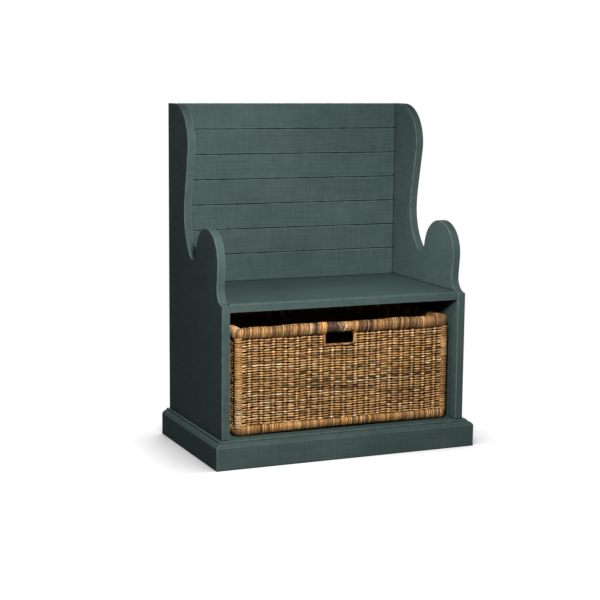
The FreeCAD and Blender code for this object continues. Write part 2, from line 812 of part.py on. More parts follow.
def basket_ring(label, inset, thickness, low, height, edge_radius):
    """A rounded hoop round the basket with softened corners."""
    body = basket_body(label)
    half = "basket_width / 2 - " + inset
    outer = new_sketch(body, label + "_outline", "XY_Plane", out=low)
    rectangle(outer, "-(%s)" % half, inset, half, "basket_depth - " + inset)
    pad(body, outer, height)
    round_edges(body, "post_radius", lambda edge, middle: is_upright(edge))
    inner = new_sketch(body, label + "_inside", "XY_Plane", out=low)
    reach = "(%s - %s)" % (half, thickness)
    rectangle(inner, "-" + reach, "%s + %s" % (inset, thickness), reach,
              "basket_depth - %s - %s" % (inset, thickness))
    pocket(body, inner, height, backwards=True)
    round_edges(body, edge_radius, lambda edge, middle: near(edge.BoundBox.ZLength, 0))
    return body


def leaning_wall(label, low_corners, high_corners):
    """A wall between the hoops that widens from the lower one to the upper."""
    body = basket_body(label)
    low = new_sketch(body, label + "_low", "XY_Plane", out="base_rim_height")
    rectangle(low, *low_corners)
    high = new_sketch(body, label + "_high", "XY_Plane", out="wall_top")
    rectangle(high, *high_corners)
    loft(body, low, high)
    return body


def loft(body, low, high):
    feature = body.newObject("PartDesign::AdditiveLoft", "loft")
    feature.Profile = low
    feature.Sections = [high]
    feature.Ruled = True
    doc.recompute()
    return feature


def basket_posts():
    """Four round corner posts that lean out with the walls."""
    places = {"front_left": (-1, False), "front_right": (1, False),
              "rear_left": (-1, True), "rear_right": (1, True)}
    for name, (side, rear) in places.items():
        label = "basket_post_" + name
        body = basket_body(label)
        rings = []
        for level, inset in (("base_rim_height", "basket_taper"), ("wall_top", "0")):
            across = "%d * (basket_width / 2 - %s - post_radius)" % (side, inset)
            along = "%s + post_radius" % inset
            if rear:
                along = "basket_depth - %s - post_radius" % inset
            ring = new_sketch(body, "%s_%s" % (label, level), "XY_Plane", across, along, level)
            disc(ring, "post_radius")
            rings.append(ring)
        loft(body, rings[0], rings[1])


def wall_stakes(body, outer, inner, reach, count, lean, along_x):
    """Upright ribs side by side on both faces of a wall, where the weave goes
    round its stakes. Outer and inner are the ribs' crowns at the foot of the
    wall, and lean is how far they move outwards up to its top."""
    outwards = value(outer) - value(inner)
    shift = "stake_rise" if outwards < 0 else "-stake_rise"
    spacing = "(2 * %s / %d)" % (reach, count + 1)
    first = "-(%s * %d / 2)" % (spacing, count - 1)
    across, up = (first, "0") if along_x else ("0", "basket_depth / 2 + " + first)
    sketch = new_sketch(body, body.Label + "_stake", "XY_Plane", across, up, "base_rim_height")
    crown, foot = "stake_crown / 2", spacing + " / 2"
    corners = [
        ("-" + crown, outer), (crown, outer), (foot, "%s + %s" % (outer, shift)),
        (foot, "%s - (%s)" % (inner, shift)), (crown, inner), ("-" + crown, inner),
        ("-" + foot, "%s - (%s)" % (inner, shift)), ("-" + foot, "%s + %s" % (outer, shift)),
    ]
    if not along_x:
        corners = [(thick, along) for along, thick in corners]
    draw_loop(sketch, corners)
    rib = pad(body, sketch, "wall_top - base_rim_height")
    rib.UseCustomVector = True
    bind(rib, "Direction.y" if along_x else "Direction.x", lean)
    bind(rib, "Direction.z", "wall_top - base_rim_height")
    repeat(body, [rib], sketch, "H_Axis" if along_x else "V_Axis",
           "%d * %s" % (count - 1, spacing), count)


def long_wall(label, rear):
    """The front or back wall between the posts."""
    levels = []
    for inset in ("basket_taper", "0"):
        reach = "(basket_width / 2 - %s - 2 * post_radius - joint_gap)" % inset
        outer = inset + " + wall_inset + stake_rise"
        inner = inset + " + wall_inset + wall_thickness - stake_rise"
        if rear:
            outer, inner = "basket_depth - (%s)" % inner, "basket_depth - (%s)" % outer
        levels.append(("-" + reach, outer, reach, inner))
    body = leaning_wall(label, levels[0], levels[1])
    outer = "basket_taper + wall_inset"
    inner = "basket_taper + wall_inset + wall_thickness"
    if rear:
        outer, inner = "basket_depth - (%s)" % outer, "basket_depth - (%s)" % inner
    wall_stakes(body, outer, inner, "(basket_width / 2 - 2 * post_radius - joint_gap)",
                LONG_STAKE_COUNT, "basket_taper" if rear else "-basket_taper", along_x=True)
    return body


def end_wall(label, side):
    """The left or right wall between the posts."""
    levels = []
    for inset in ("basket_taper", "0"):
        reach = inset + " + 2 * post_radius + joint_gap"
        outer = "(basket_width / 2 - %s - wall_inset - stake_rise)" % inset
        inner = "(basket_width / 2 - %s - wall_inset - wall_thickness + stake_rise)" % inset
        left, right = ("-" + outer, "-" + inner) if side < 0 else (inner, outer)
        levels.append((left, reach, right, "basket_depth - (%s)" % reach))
    body = leaning_wall(label, levels[0], levels[1])
    sign = "-" if side < 0 else ""
    outer = sign + "(basket_width / 2 - basket_taper - wall_inset)"
    inner = sign + "(basket_width / 2 - basket_taper - wall_inset - wall_thickness)"
    wall_stakes(body, outer, inner, "(basket_depth / 2 - 2 * post_radius - joint_gap)",
                END_STAKE_COUNT, sign + "basket_taper", along_x=False)


def front_wall():
    """The front wall, notched below the rim for the hand hole's binding."""
    body = long_wall("basket_front_wall", rear=False)
    reach = "hand_hole_width / 2 + binding_width + joint_gap"
    notch = new_sketch(body, "hand_hole_notch", "XZ_Plane", across="hand_hole_offset",
                       up="wall_top")
    rectangle(notch, "-(%s)" % reach, "-(hand_hole_height + binding_width + joint_gap)",
              reach, "cut_overrun")
    pocket(body, notch, "basket_taper + wall_inset + wall_thickness + cut_overrun")


def hand_hole_binding():
    """The wrapped edge at the ends and bottom of the hand hole."""
    body = basket_body("hand_hole_binding")
    sketch = new_sketch(body, "binding_face", "XZ_Plane", across="hand_hole_offset",
                        up="wall_top - joint_gap", out="-(wall_inset - binding_proud)")
    hole = "hand_hole_width / 2"
    outer = "(hand_hole_width / 2 + binding_width)"
    low = "-(hand_hole_height + binding_width - joint_gap)"
    draw_loop(sketch, [
        ("-" + outer, "0"), ("-" + outer, low), (outer, low), (outer, "0"), (hole, "0"),
        (hole, "-(hand_hole_height - joint_gap)"), ("-" + hole, "-(hand_hole_height - joint_gap)"),
        ("-" + hole, "0")])
    pad(body, sketch, "wall_thickness + 2 * binding_proud", backwards=True)
    floor_level = value("wall_top - hand_hole_height")

    def inner_corner(edge, middle):
        along_y = near(edge.Length, edge.BoundBox.YLength)
        return along_y and near(middle.z, floor_level)

    round_edges(body, "binding_corner_radius", inner_corner)


def top_rim():
    """The top hoop, thinner above the hand hole."""
    body = basket_ring("basket_top_rim", "0", "rim_thickness", "wall_top", "rim_height",
                       "rim_edge_radius")
    rise = new_sketch(body, "hand_hole_rise", "XZ_Plane", across="hand_hole_offset",
                      up="wall_top", out="cut_overrun")
    rectangle(rise, "-hand_hole_width / 2", "-cut_overrun", "hand_hole_width / 2",
              "hand_hole_rise")
    pocket(body, rise, "rim_thickness + 2 * cut_overrun")


def basket_floor():
    """The woven floor inside the base hoop and the rods that stiffen it."""
    body = basket_body("basket_floor")
    inset = "(basket_taper + base_rim_thickness + joint_gap)"
    sketch = new_sketch(body, "basket_floor_face", "XY_Plane", out="floor_lift")
    rectangle(sketch, "-(basket_width / 2 - %s)" % inset, inset, "basket_width / 2 - " + inset,
              "basket_depth - " + inset)
    pad(body, sketch, "basket_floor_thickness")
    rods = basket_body("basket_floor_rods")
    spacing = "(basket_width / %d)" % (FLOOR_ROD_COUNT + 1)
    across = "-%s * %d" % (spacing, (FLOOR_ROD_COUNT - 1) // 2)
    ring = new_sketch(rods, "floor_rod_end", "XZ_Plane", across, "floor_rod_radius + joint_gap",
                      "-" + inset)
    disc(ring, "floor_rod_radius")
    rod = pad(rods, ring, "basket_depth - 2 * " + inset, backwards=True)
    repeat(rods, [rod], ring, "H_Axis", "%d * %s" % (FLOOR_ROD_COUNT - 1, spacing),
           FLOOR_ROD_COUNT)


def carcass():
    side_panel("left_side_panel", left_hand=True)
    side_panel("right_side_panel", left_hand=False)
    plinth_front()
    plinth_side("plinth_left", left_hand=True)
    plinth_side("plinth_right", left_hand=False)
    base_rail("front_base_rail", "panel_front")
    base_rail("rear_base_rail", "back_front - base_rail_thickness - joint_gap")
    corner_blocks()
    bottom_shelf()
    seat_board()
    cleat_length = "bay_depth - cleat_setback - joint_gap"
    shelf_cleat_length = "bay_depth - 2 * base_rail_thickness - 3 * joint_gap"
    for side in ("left", "right"):
        side_cleat("seat_cleat_" + side, side == "left", "panel_front + cleat_setback",
                   "seat_underside - cleat_height", cleat_length, "seat_screw_row",
                   SEAT_SCREW_COUNT)
        side_cleat("shelf_cleat_" + side, side == "left",
                   "panel_front + base_rail_thickness + joint_gap",
                   "shelf_underside - cleat_height", shelf_cleat_length, "shelf_screw_row",
                   SHELF_SCREW_COUNT)
    rear_seat_cleat()
    cleat_screws("seat_screws", "panel_front + seat_screw_start",
                 "seat_underside - cleat_height", "seat_screw_row", SEAT_SCREW_COUNT)
    cleat_screws("shelf_screws", "panel_front + shelf_screw_start",
                 "shelf_underside - cleat_height", "shelf_screw_row", SHELF_SCREW_COUNT)
    for number in range(1, BOARD_COUNT + 1):
        back_board(number)
    lower_back_panel()
    for number in range(BATTEN_COUNT):
        back_batten(number)
    back_screws()


def basket():
    top_rim()
    basket_ring("basket_base_rim", "basket_taper", "base_rim_thickness", "0",
                "base_rim_height", "base_rim_edge_radius")
    basket_posts()
    front_wall()
    hand_hole_binding()
    long_wall("basket_back_wall", rear=True)
    end_wall("basket_left_wall", -1)
    end_wall("basket_right_wall", 1)
    basket_floor()


def check_model():
    """Stop if any object failed or any sub-part has no sound solid."""
    doc.recompute()
    for item in doc.Objects:
        if "Invalid" in item.State or "Error" in item.State:
            raise RuntimeError("failed: %s %s" % (item.Label, item.State))
    for body in sub_parts:
        if body.Shape.isNull() or not body.Shape.isValid() or not body.Shape.Solids:
            raise RuntimeError("unsound: " + body.Label)


def write_parts():
    os.makedirs("parts", exist_ok=True)
    for body in sub_parts:
        body.Shape.exportStep(os.path.join("parts", body.Label + ".step"))
        print(body.Label, len(body.Shape.Solids), round(body.Shape.Volume))


fill_sheet()
carcass()
basket()
check_model()
write_parts()
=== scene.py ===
import itertools
import math
import random

import bpy
import numpy as np
from mathutils import Matrix, Vector


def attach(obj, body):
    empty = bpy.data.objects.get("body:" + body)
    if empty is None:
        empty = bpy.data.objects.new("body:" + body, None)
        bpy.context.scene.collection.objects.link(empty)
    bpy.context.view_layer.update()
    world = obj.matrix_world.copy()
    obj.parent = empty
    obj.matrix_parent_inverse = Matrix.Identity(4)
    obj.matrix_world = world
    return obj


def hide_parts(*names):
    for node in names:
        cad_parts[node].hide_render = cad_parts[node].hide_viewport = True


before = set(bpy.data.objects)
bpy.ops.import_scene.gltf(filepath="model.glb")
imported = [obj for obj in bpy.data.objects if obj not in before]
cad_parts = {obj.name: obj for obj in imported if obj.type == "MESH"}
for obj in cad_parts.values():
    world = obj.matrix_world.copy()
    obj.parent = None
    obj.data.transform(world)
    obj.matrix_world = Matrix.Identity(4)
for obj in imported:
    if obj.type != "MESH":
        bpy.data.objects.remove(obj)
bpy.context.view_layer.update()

MM = 0.001

# Basket in its own frame: centred across, front of the rim at zero, bottom at zero
BASKET_X = 4 * MM
BASKET_Y = -209 * MM
BASKET_Z = 85.3 * MM
BASKET_W = 722 * MM
BASKET_D = 410 * MM
BASKET_H = 333 * MM
TAPER = 1 * MM
RIM_H = 38 * MM
RIM_T = 30 * MM
BASE_H = 32 * MM
BASE_T = 24 * MM
POST_R = 13 * MM
WALL_MID = 10 * MM
WALL_TOP = BASKET_H - RIM_H
HOLE_X = -16 * MM
HOLE_W = 94 * MM
HOLE_H = 28 * MM
HOLE_RISE = 5.5 * MM
HOLE_CORNER = 8 * MM
BINDING_W = 8 * MM

# Weave: rows, stakes and strands of the walls, and of the mat on the floor
WALL_ROWS = 34
LONG_STAKES = 33
LONG_SPACING = 19.63 * MM
END_STAKES = 17
END_SPACING = 19.86 * MM
SWING = 3.6 * MM
WEAVER_R = 2.5 * MM
ROD_R = 1.8 * MM
PAIR_REACH = 3.6 * MM
POST_OVERLAP = 4 * MM
MAT_ROWS = 40
MAT_STAKES = 27
MAT_SPACING = 23.5 * MM
MAT_LEVEL = 15.1 * MM
MAT_SWING = 2.4 * MM
MAT_WEAVER_R = 2.4 * MM
MAT_ROD_R = 1.7 * MM
POINTS_PER_STAKE = 5
DRAW_LENGTH = 20 * MM
DRAW_REACH = 1.2 * MM
CROSSING_RISE = 0.4 * MM
KNOT_LENGTH = 11 * MM
WEAVER_LENGTH = 120 * MM
ROD_FOOT = 3 * MM
ROD_HEAD = 1 * MM
ROD_STEP = 5 * MM

# Windings of the rim, the base hoop, the posts and the hand hole
HOOP_CORNER = 24 * MM
WRAP_PITCH = 3.4 * MM
WRAP_R = 2.0 * MM
WRAP_POINTS = 14
WRAP_BATCH = 7 * MM
RIM_SLANT = 2.4 * MM
BASE_SLANT = 1.2 * MM
CROSSED_LAY = 7 * MM
CROSSED = (-24 * MM, 12 * MM)
CORE_RINGS = 240
CORE_SIDES = 8
POST_PITCH = 7 * MM
POST_STRAND_R = 3.9 * MM
POST_BATCH = 42 * MM
POST_FOOT = 4 * MM
BINDING_STRANDS = 5
BINDING_TURN = 34 * MM
BINDING_ACROSS = 1.5 * MM
BINDING_DEPTH = 4.9 * MM
BINDING_R = 2.0 * MM
SHORT_LENGTH = 11 * MM
TUCK = 3 * MM


# Camera: placed and turned to the photograph's view

CAMERA_PLACE = (-1.9247, -4.2947, 1.1705)
YAW = math.radians(23.48)
PITCH = math.radians(8.64)
ROLL = math.radians(0.509)
SENSOR_WIDTH = 36
FOCAL_LENGTH = 89.59


def make_camera():
    forward = Vector((math.sin(YAW) * math.cos(PITCH), math.cos(YAW) * math.cos(PITCH),
                      -math.sin(PITCH)))
    level = Vector((math.cos(YAW), -math.sin(YAW), 0))
    upright = level.cross(forward)
    right = level * math.cos(ROLL) + upright * math.sin(ROLL)
    up = upright * math.cos(ROLL) - level * math.sin(ROLL)
    data = bpy.data.cameras.new("camera")
    data.sensor_width = SENSOR_WIDTH
    data.lens = FOCAL_LENGTH
    camera = bpy.data.objects.new("camera", data)
    turn = Matrix((right, up, -forward)).transposed().to_4x4()
    camera.matrix_world = Matrix.Translation(CAMERA_PLACE) @ turn
    bpy.context.scene.collection.objects.link(camera)
    bpy.context.scene.camera = camera


make_camera()


# Materials

class Nodes:
    """A node tree built from short calls. Most give the new node."""

    def __init__(self, tree):
        self.tree = tree

    def put(self, node, inputs):
        for key, value in inputs.items():
            if isinstance(value, bpy.types.Node):
                value = value.outputs[0]
            if isinstance(value, bpy.types.NodeSocket):
                self.tree.links.new(value, node.inputs[key])
            else:
                node.inputs[key].default_value = value

    def add(self, kind, inputs=None, **settings):
        node = self.tree.nodes.new(kind)
        for key, value in settings.items():
            setattr(node, key, value)
        self.put(node, inputs or {})
        return node

    def math(self, operation, a, b=0.0):
        return self.add("ShaderNodeMath", {0: a, 1: b}, operation=operation)

    def total(self, *weighted):
        """Sum of values, each given with its weight."""
        parts = [self.math("MULTIPLY", value, weight) for value, weight in weighted]
        whole = parts[0]
        for part in parts[1:]:
            whole = self.math("ADD", whole, part)
        return whole

    def noise(self, vector, scale, stretch=(1, 1, 1), detail=3.0, roughness=0.5, shift=(0, 0, 0)):
        spread = self.add("ShaderNodeMapping", {"Vector": vector, "Scale": stretch,
                                                "Location": shift})
        return self.add("ShaderNodeTexNoise", {"Vector": spread, "Scale": scale,
                                               "Detail": detail, "Roughness": roughness})

    def spread(self, value, low, high, to_low=0.0, to_high=1.0):
        """Value stretched from one range to another and kept inside it."""
        return self.add("ShaderNodeMapRange", {"Value": value, "From Min": low,
                                               "From Max": high, "To Min": to_low,
                                               "To Max": to_high})

    def blend(self, factor, a, b):
        """Colour between a and b. The numbers are the node's sockets for colours."""
        node = self.add("ShaderNodeMix", data_type="RGBA")
        self.put(node, {0: factor, 6: a, 7: b})
        return node.outputs[2]

    def bump(self, height, strength, distance):
        return self.add("ShaderNodeBump", {"Height": height, "Strength": strength,
                                           "Distance": distance})


class Shader(Nodes):
    """The nodes of a new material."""

    def __init__(self, name):
        self.material = bpy.data.materials.new(name)
        self.material.use_nodes = True
        super().__init__(self.material.node_tree)
        self.surface = self.tree.nodes["Principled BSDF"]

    def place(self):
        """Where on its piece a point lies."""
        return self.add("ShaderNodeTexCoord").outputs["Object"]


def colour(red, green, blue):
    """Linear colour of an sRGB one written from 0 to 255."""
    def linear(part):
        part /= 255
        return part / 12.92 if part <= 0.04045 else ((part + 0.055) / 1.055) ** 2.4
    return (linear(red), linear(green), linear(blue), 1.0)


PAINT_DEEP = colour(65, 81, 78)
PAINT_LIGHT = colour(80, 97, 94)
PAINT_RUBBED = colour(116, 134, 128)
# Painted shade for the joints and corners that nearby parts hide
PAINTED_SEAM_SHADE = colour(10, 14, 13)
RUBBED_EDGE = 3.5 * MM
SEAM_SHADE_REACH = 7 * MM

WOOD_EARLY = colour(206, 172, 128)
WOOD_LATE = colour(168, 124, 80)
WOOD_FINE = colour(150, 112, 74)

STEEL_BRIGHT = colour(196, 190, 172)
STEEL_DULL = colour(158, 152, 136)

TAN = colour(214, 168, 112)
PALE = colour(232, 198, 148)
CREAM = colour(244, 222, 184)
HONEY = colour(200, 150, 90)
BROWN = colour(164, 118, 68)
AMBER = colour(204, 146, 82)
OLIVE = colour(138, 114, 72)
PINK = colour(204, 152, 108)
DARK = colour(88, 62, 44)
# The core under the rim's strands: dark as painted shade for the gaps between them
CORE_SHADE = colour(60, 40, 26)

# Stretch of the noise for each way the grain may run: long along it, tight across
GRAIN = {"x": (0.06, 1, 1), "y": (1, 0.06, 1), "z": (1, 1, 0.06)}
ACROSS = {"x": (1, 1, 0.12), "y": (1, 1, 0.12), "z": (0.2, 0.2, 1)}


def painted(name, way, seam_shade=True):
    """Satin paint over wood: faint grain and saw marks, soft mottling, and a
    slightly rubbed, lighter tone on the edges. When the seam shade is on, painted
    shade darkens the joints between boards and the corners that nearby parts hide."""
    s = Shader(name)
    place = s.place()
    grain = s.noise(place, scale=170, stretch=GRAIN[way], detail=5, roughness=0.6)
    saw = s.noise(place, scale=105, stretch=ACROSS[way], detail=3, roughness=0.55,
                  shift=(3, 7, 5))
    mottle = s.noise(place, scale=7, stretch=(1, 1, 1.4), detail=4, roughness=0.6,
                     shift=(11, 2, 4))
    tone = s.total((grain, 0.34), (saw, 0.26), (mottle, 0.40))
    base = s.blend(s.spread(tone, low=0.36, high=0.64), PAINT_DEEP, PAINT_LIGHT)
    # An edge is where the normal of the rounded piece leaves that of the flat one
    rounded = s.add("ShaderNodeBevel", {"Radius": RUBBED_EDGE}, samples=4)
    flat = s.add("ShaderNodeNewGeometry").outputs["Normal"]
    match = s.add("ShaderNodeVectorMath", {0: rounded, 1: flat}, operation="DOT_PRODUCT")
    edge = s.spread(match.outputs["Value"], low=0.998, high=0.95)
    patches = s.noise(place, scale=38, detail=4, shift=(1, 9, 3))
    wear = s.math("MULTIPLY", edge, s.spread(patches, low=0.38, high=0.62, to_low=0.25))
    base = s.blend(wear, base, PAINT_RUBBED)
    if seam_shade:
        # Painted shade: darker where nearby parts hide the surface, in the joints and inner corners
        occlusion = s.add("ShaderNodeAmbientOcclusion", {"Distance": SEAM_SHADE_REACH}, samples=8)
        unshaded = s.spread(occlusion.outputs["AO"], low=0.45, high=0.85)
        base = s.blend(unshaded, PAINTED_SEAM_SHADE, base)
    height = s.total((grain, 0.6), (saw, 0.4))
    rough = s.spread(s.math("ADD", grain, mottle), low=0.7, high=1.3, to_low=0.48, to_high=0.64)
    s.put(s.surface, {"Base Color": base, "Roughness": rough, "Specular IOR Level": 0.02,
                      "Normal": s.bump(height, strength=0.4, distance=1.4 * MM)})
    return s.material


def bare_wood(name, way):
    """Planed softwood with long grain lines and darker latewood."""
    s = Shader(name)
    place = s.place()
    rings = s.noise(place, scale=55, stretch=GRAIN[way], detail=4, roughness=0.55)
    fine = s.noise(place, scale=420, stretch=GRAIN[way], detail=3, shift=(2, 5, 8))
    bands = s.math("FRACT", s.math("MULTIPLY", rings, 7.0))
    base = s.blend(s.spread(bands, low=0.55, high=0.95), WOOD_EARLY, WOOD_LATE)
    base = s.blend(s.spread(fine, low=0.3, high=0.7, to_high=0.35), base, WOOD_FINE)
    rough = s.spread(fine, low=0.3, high=0.7, to_low=0.5, to_high=0.68)
    s.put(s.surface, {"Base Color": base, "Roughness": rough, "Specular IOR Level": 0.3,
                      "Normal": s.bump(fine, strength=0.25, distance=0.6 * MM)})
    return s.material


def plated_steel(name):
    """Dull zinc plating with a faint cloud in its gloss."""
    s = Shader(name)
    cloud = s.noise(s.place(), scale=900)
    rough = s.spread(cloud, low=0.3, high=0.7, to_low=0.28, to_high=0.46)
    s.put(s.surface, {"Base Color": s.blend(cloud, STEEL_BRIGHT, STEEL_DULL),
                      "Metallic": 1.0, "Roughness": rough,
                      "Normal": s.bump(cloud, strength=0.15, distance=0.2 * MM)})
    return s.material


def rattan(name):
    """Strands with their own tints, fibre streaks along them and dark nodes."""
    s = Shader(name)
    tint = s.add("ShaderNodeAttribute", attribute_name="tint").outputs["Color"]
    fibre = s.add("ShaderNodeAttribute", attribute_name="fibre").outputs["Vector"]
    streak = s.noise(fibre, scale=3, stretch=(12, 1.6, 1.6), detail=4, roughness=0.65)
    patch = s.noise(fibre, scale=1, stretch=(26, 0.5, 0.5), roughness=0.6, shift=(5, 1, 2))
    shade = s.spread(streak, low=0.3, high=0.7, to_low=0.70, to_high=1.18)
    blot = s.spread(patch, low=0.38, high=0.66, to_low=1.15, to_high=0.55)
    gain = s.math("MULTIPLY", shade, blot)
    shaded = s.add("ShaderNodeVectorMath", {0: tint, "Scale": gain}, operation="SCALE")
    rough = s.spread(streak, low=0.3, high=0.7, to_low=0.42, to_high=0.62)
    s.put(s.surface, {"Base Color": shaded, "Specular IOR Level": 0.35, "Roughness": rough,
                      "Normal": s.bump(streak, strength=0.35, distance=0.6 * MM)})
    return s.material


def rattan_rod(name):
    """A straight peeled rod with long fibres."""
    s = Shader(name)
    streak = s.noise(s.place(), scale=300, stretch=(1, 0.04, 1), detail=4)
    rough = s.spread(streak, low=0.3, high=0.7, to_low=0.45, to_high=0.6)
    s.put(s.surface, {"Base Color": s.blend(streak, TAN, BROWN), "Roughness": rough,
                      "Normal": s.bump(streak, strength=0.3, distance=0.6 * MM)})
    return s.material


PAINT = {way: painted("painted_wood_" + way, way) for way in "xyz"}
SHELF_PAINT = painted("painted_shelf", "x", seam_shade=False)
BARE = {way: bare_wood("bare_wood_" + way, way) for way in "xyz"}
STEEL = plated_steel("steel_screw")
RATTAN = rattan("rattan")
ROD = rattan_rod("rattan_rod")


def dress(names, material):
    for name in names:
        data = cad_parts[name].data
        data.materials.clear()
        data.materials.append(material)


dress(["back_board_%d" % n for n in range(1, 8)], PAINT["x"])
dress(["lower_back_panel", "seat_board", "seat_cleat_rear", "plinth_front"], PAINT["x"])
dress(["bottom_shelf"], SHELF_PAINT)
dress(["plinth_left", "plinth_right", "seat_cleat_left", "seat_cleat_right"], PAINT["y"])
dress(["left_side_panel", "right_side_panel"], PAINT["z"])
dress(["back_batten_left", "back_batten_centre", "back_batten_right"], PAINT["z"])
dress(["front_base_rail", "rear_base_rail"], BARE["x"])
dress(["shelf_cleat_left", "shelf_cleat_right"], BARE["y"])
dress(["corner_blocks"], BARE["z"])
dress(["back_screws", "seat_screws", "shelf_screws"], STEEL)
dress(["basket_floor_rods"], ROD)


# Strands

TINY = 1e-12
FIBRE_SHIFT = 0.37
CORE_FIBRE = 10


class Strands:
    """Many strands gathered into one mesh, with a tint and a run along the fibre."""

    def __init__(self):
        self.points = []
        self.faces = []
        self.tints = []
        self.fibres = []
        self.count = 0

    def add(self, path, hint, radius, tint, sides=6, closed=False, painted_light=0.0):
        """A round strand along path. Its first side faces hint, and radius and
        tint are one value or one for each point. The last argument paints light
        and shade: how much lighter the side that faces hint is, and how much darker the other."""
        path = np.asarray(path, dtype=float)
        total = len(path)
        if closed:
            way = np.roll(path, -1, axis=0) - np.roll(path, 1, axis=0)
        else:
            way = np.gradient(path, axis=0)
        way /= np.linalg.norm(way, axis=1)[:, None] + TINY
        hint = np.broadcast_to(np.asarray(hint, dtype=float), (total, 3))
        normal = hint - (hint * way).sum(axis=1)[:, None] * way
        normal /= np.linalg.norm(normal, axis=1)[:, None] + TINY
        side = np.cross(way, normal)
        radius = np.broadcast_to(np.asarray(radius, dtype=float), (total,))[:, None, None]
        angles = np.arange(sides) * 2 * math.pi / sides
        ring = (np.cos(angles)[None, :, None] * normal[:, None, :]
                + np.sin(angles)[None, :, None] * side[:, None, :])
        self.points.append((path[:, None, :] + ring * radius).reshape(-1, 3))
        tint = np.broadcast_to(np.asarray(tint, dtype=float), (total, 3))
        # Painted light and shade round the strand: lighter on the side that faces hint
        gain = np.tile(1 + painted_light * np.cos(angles), total)
        self.tints.append(np.repeat(tint, sides, axis=0) * gain[:, None])
        # Run along the strand and turn round it, each strand at its own place
        steps = np.linalg.norm(np.diff(path, axis=0), axis=1)
        run = np.concatenate([[0], np.cumsum(steps)])
        own = self.count * FIBRE_SHIFT
        fibre = np.zeros((total, sides, 3))
        fibre[:, :, 0] = run[:, None] + own
        fibre[:, :, 1] = np.cos(angles)[None, :] + own
        fibre[:, :, 2] = np.sin(angles)[None, :]
        self.fibres.append(fibre.reshape(-1, 3))
        self.skin(total, sides, closed)

    def add_core(self, rings):
        """A tube through rings of points, closed end to end, dark as painted shade."""
        points = np.concatenate(rings)
        self.points.append(points)
        self.tints.append(np.tile(CORE_SHADE[:3], (len(points), 1)))
        self.fibres.append(points * CORE_FIBRE)
        self.skin(len(rings), len(rings[0]), True)

    def skin(self, rings, sides, closed):
        """Faces over the newest rings of points, with a cap on each open end."""
        start = self.count
        for step in range(rings if closed else rings - 1):
            a = start + step * sides
            b = start + (step + 1) % rings * sides
            for k in range(sides):
                n = (k + 1) % sides
                self.faces.append((a + k, a + n, b + n, b + k))
        if not closed:
            last = start + (rings - 1) * sides
            self.faces.append(tuple(start + k for k in reversed(range(sides))))
            self.faces.append(tuple(last + k for k in range(sides)))
        self.count += rings * sides

    def build(self, name, slot, replaced, body="basket"):
        mesh = bpy.data.meshes.new(name)
        mesh.from_pydata(np.concatenate(self.points).tolist(), [], self.faces)
        tints = np.concatenate(self.tints)
        colours = np.concatenate([tints, np.ones((len(tints), 1))], axis=1)
        layer = mesh.attributes.new("tint", "FLOAT_COLOR", "POINT")
        layer.data.foreach_set("color", colours.ravel())
        layer = mesh.attributes.new("fibre", "FLOAT_VECTOR", "POINT")
        layer.data.foreach_set("vector", np.concatenate(self.fibres).ravel())
        mesh.shade_smooth()
        mesh.materials.append(RATTAN)
        piece = bpy.data.objects.new(name, mesh)
        bpy.context.scene.collection.objects.link(piece)
        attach(piece, body)
        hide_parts(*replaced)


rng = random.Random(7)


def pick(weighted):
    """One of the tints, by weight, with a little change of its own."""
    tints = [tint for tint, weight in weighted]
    tint = rng.choices(tints, [weight for tint, weight in weighted])[0]
    gain = rng.uniform(0.84, 1.14)
    hue = np.array([1, rng.uniform(0.96, 1.04), rng.uniform(0.9, 1.08)])
    return np.array(tint[:3]) * gain * hue


def strand_tints(run, weighted, piece_length):
    """Tints along a row: lengths of different strands joined one after another."""
    tints = np.zeros((len(run), 3))
    start = run[0] - rng.uniform(0, piece_length)
    while start < run[-1] + piece_length:
        length = piece_length * rng.uniform(0.5, 1.5)
        inside = (run >= start) & (run < start + length)
        tints[inside] = pick(weighted)
        start += length
    return tints


def waves(seed, sizes):
    """A smooth random line: a sum of sines, each given as (length, amount)."""
    own = random.Random(seed)
    terms = [(2 * math.pi / length, amount, own.uniform(0, 6.28)) for length, amount in sizes]
    return lambda a: sum(amount * np.sin(k * a + phase) for k, amount, phase in terms)


def place_in_basket(x, y, z):
    return np.stack([BASKET_X + x, BASKET_Y + y, BASKET_Z + z], axis=-1)


def lean(height):
    """How far the walls stand in from the rim at a height."""
    return TAPER * (WALL_TOP - height) / (WALL_TOP - BASE_H)


# Woven walls

WEAVER_TINTS = ((TAN, 4), (PALE, 0.5), (HONEY, 4.5), (BROWN, 3.5), (OLIVE, 0.8), (PINK, 0.4),
                (DARK, 0.3))
ROD_TINTS = ((CREAM, 1), (TAN, 1), (BROWN, 3), (DARK, 5))
PAIR_TINTS = ((BROWN, 2), (DARK, 5), (OLIVE, 1))

# Lengths and amounts by which rows and rods stray from straight lines
ROW_DRIFT = ((210 * MM, 0.8 * MM), (90 * MM, 0.5 * MM))
ROW_SAG = ((260 * MM, 0.4 * MM), (85 * MM, 0.4 * MM), (37 * MM, 0.45 * MM))
ROD_WANDER = ((160 * MM, 0.9 * MM), (60 * MM, 0.4 * MM))

# Single strands of the front that stand out: row, from, to and tint
ODD_STRANDS = ((15, -130 * MM, 340 * MM, DARK), (20, 20 * MM, 60 * MM, DARK),
               (19, -150 * MM, -110 * MM, DARK), (11, -330 * MM, -180 * MM, PALE))

# Window of the front for the hand hole: from, to and the height that it starts at
HOLE_GAP = (HOLE_X - HOLE_W / 2 - 2 * MM, HOLE_X + HOLE_W / 2 + 2 * MM,
            WALL_TOP - HOLE_H - BINDING_W + 1 * MM)

CORNER_STEP = math.pi / 10
LIP_STEPS = 14


